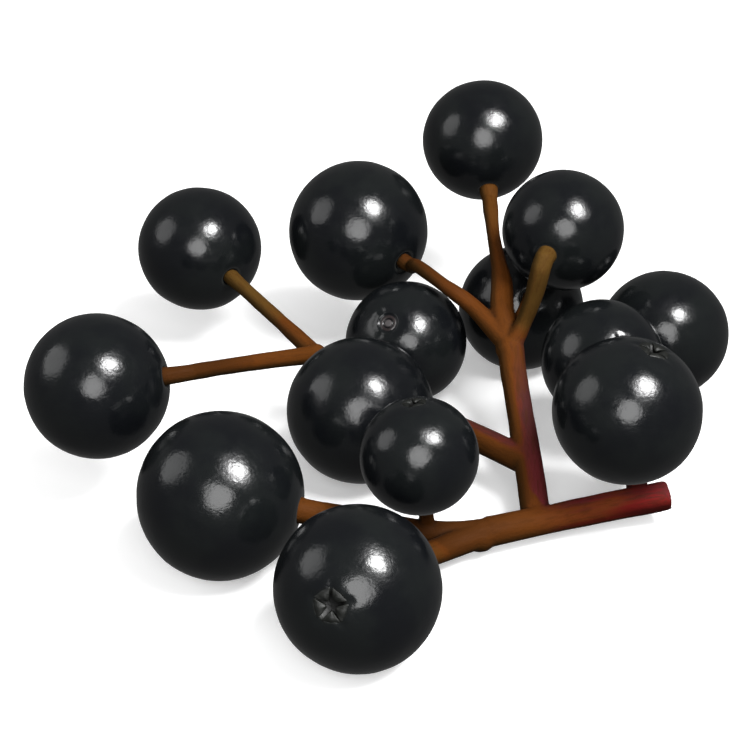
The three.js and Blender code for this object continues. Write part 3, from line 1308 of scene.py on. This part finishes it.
        # Redness on the under side near the cut end, which also turns the painted shade there
        # from olive to dark wine.
        under = smooth_step(0.3, 0.7, under_way) * (1 - smooth_step(3.0, 12.0, walked))
        near = 1 - smooth_step(0.3, 5.5, walked)
        return np.maximum(np.maximum(near, blush), 0.55 * under)

    def dress(self, stem: Piece, bark: bpy.types.Material) -> None:
        """Gives the stem its bark and puts it in the place of its node."""
        stem.visible_glossy = False
        dress_piece(stem, bark, STEM_NODE)


# ---------------------------------------------------------------- studio


@dataclass(frozen=True)
class DiskLight:
    """One round soft light, given by the way to it and how bright its face looks."""

    name: str
    towards: Triple
    width_degrees: float
    radiance: float
    distance: float = 0.15

    def place(self, target: Vector) -> None:
        """Hangs the light and aims it.

        Args:
            target: the point that it shines at.
        """
        way = Vector(self.towards).normalized()
        size = 2 * self.distance * math.tan(math.radians(self.width_degrees) / 2)
        data = bpy.data.lights.new(self.name, "AREA")
        data.shape = "DISK"
        data.size = size
        data.energy = self.radiance * math.pi * math.pi * size ** 2 / 4
        light = bpy.data.objects.new(self.name, data)
        light.location = target + way * self.distance
        light.rotation_euler = way.to_track_quat("Z", "Y").to_euler()
        light.visible_camera = False
        bpy.context.scene.collection.objects.link(light)


@dataclass(frozen=True)
class Studio:
    """The floor, the lights, the sky and the camera."""

    floor_finish: FloorFinish
    floor_size: float = 4.0
    elevation_degrees: float = 30.0
    view_degrees: float = 26.0
    camera_distance: float = 0.0829
    # The point that the camera looks at, measured from the middle of the box.
    aim_offset: Triple = (-0.0012, 0.0, -0.0026)
    lights: tuple[DiskLight, ...] = (
        DiskLight("key_light", (0.400, -0.359, 0.843), 22.0, 36.0),
        DiskLight("key_halo", (0.400, -0.359, 0.843), 40.0, 2.0, distance=0.155),
        DiskLight("fill_light", (-0.003, -0.871, 0.492), 36.0, 6.5),
        DiskLight("left_light", (-0.856, -0.013, 0.517), 35.0, 1.9),
    )
    sky_for_camera: float = 1.0
    sky_for_gloss: float = 0.12
    sky_for_bark: float = 0.5
    ground_for_bark: float = 0.05

    def build(self) -> None:
        """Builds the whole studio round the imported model."""
        low, high = CAD_BOX
        middle = (low + high) / 2
        self.floor()
        for light in self.lights:
            light.place(middle)
        self.sky()
        self.camera(middle)
        bpy.context.scene.view_settings.view_transform = "Standard"

    def floor(self) -> None:
        """Lays a wide flat floor."""
        deselect_all()
        bpy.ops.mesh.primitive_grid_add(x_subdivisions=16, y_subdivisions=16,
                                        size=self.floor_size)
        floor = bpy.context.active_object
        floor.name = "floor"
        floor.data.materials.append(self.floor_finish.make())
        floor.visible_glossy = False
        floor.visible_diffuse = False

    def sky(self) -> None:
        """Makes the sky white to the camera and dim to the glossy berries."""
        world = bpy.data.worlds.new("studio_sky")
        world.use_nodes = True
        bpy.context.scene.world = world
        bench = NodeBench(world.node_tree)
        rays = bench.add("ShaderNodeLightPath")
        seen = bench.maths("MULTIPLY", rays.outputs["Is Camera Ray"], self.sky_for_camera)
        gloss = bench.maths("MULTIPLY", rays.outputs["Is Glossy Ray"], self.sky_for_gloss)
        way = bench.add("ShaderNodeSeparateXYZ")
        bench.link(bench.add("ShaderNodeTexCoord").outputs["Generated"], way.inputs[0])
        overhead = bench.ranged(way.outputs["Z"], -0.2, 0.6,
                                self.ground_for_bark, self.sky_for_bark)
        soft = bench.maths("MULTIPLY", rays.outputs["Is Diffuse Ray"], overhead)
        total = bench.maths("ADD", bench.maths("ADD", seen, gloss), soft)
        background = world.node_tree.nodes["Background"]
        background.inputs["Color"].default_value = (1, 1, 1, 1)
        bench.link(total, background.inputs["Strength"])

    def camera(self, middle: Vector) -> None:
        """Sets up the camera, looking down on the cluster.

        Args:
            middle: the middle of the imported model's box.
        """
        tilt = math.radians(self.elevation_degrees)
        back = Vector((0, -math.cos(tilt), math.sin(tilt)))
        data = bpy.data.cameras.new("camera")
        data.angle = math.radians(self.view_degrees)
        data.clip_start = 0.002
        camera = bpy.data.objects.new("camera", data)
        camera.location = middle + Vector(self.aim_offset) + back * self.camera_distance
        camera.rotation_euler = back.to_track_quat("Z", "Y").to_euler()
        bpy.context.scene.collection.objects.link(camera)
        bpy.context.scene.camera = camera


def report(piece: Piece) -> None:
    """Logs a finished piece and how many faces it has."""
    log.info("%s: %d faces", piece.name, len(piece.data.polygons))


def main() -> None:
    """Builds the studio, the stem and the berries, in that order."""
    logging.basicConfig(level=logging.INFO, format="%(message)s")
    mottling = build_mottling_group()
    streaks = build_streak_group()
    Studio(FloorFinish(mottling)).build()
    places = {node: BerryPlace.measured(node)
              for node in sorted(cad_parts) if node != STEM_NODE}
    stem_maker = Stem(places)
    stem = stem_maker.mesh()
    stem_maker.dress(stem, StemBarkFinish(mottling, streaks).make())
    report(stem)
    skin = BerrySkinFinish(mottling).make()
    dents = bpy.data.textures.new("dents", "CLOUDS")
    ripples = bpy.data.textures.new("ripples", "CLOUDS")
    patterns = {end: UnitBerry(end).mesh() for end in StalkEnd}
    for number, (node, place) in enumerate(places.items()):
        end = StalkEnd.SCAR if node == "berry_loose" else StalkEnd.DIMPLE
        habit = HABITS.get(node, Habit(twist_degrees=17.0 * number))
        maker = Berry(node, place, habit)
        berry = maker.mesh(patterns[end], dents, ripples)
        maker.dress(berry, skin)
        report(berry)
    for pattern in patterns.values():
        bpy.data.objects.remove(pattern)
    deselect_all()


if __name__ == "__main__":
    main()
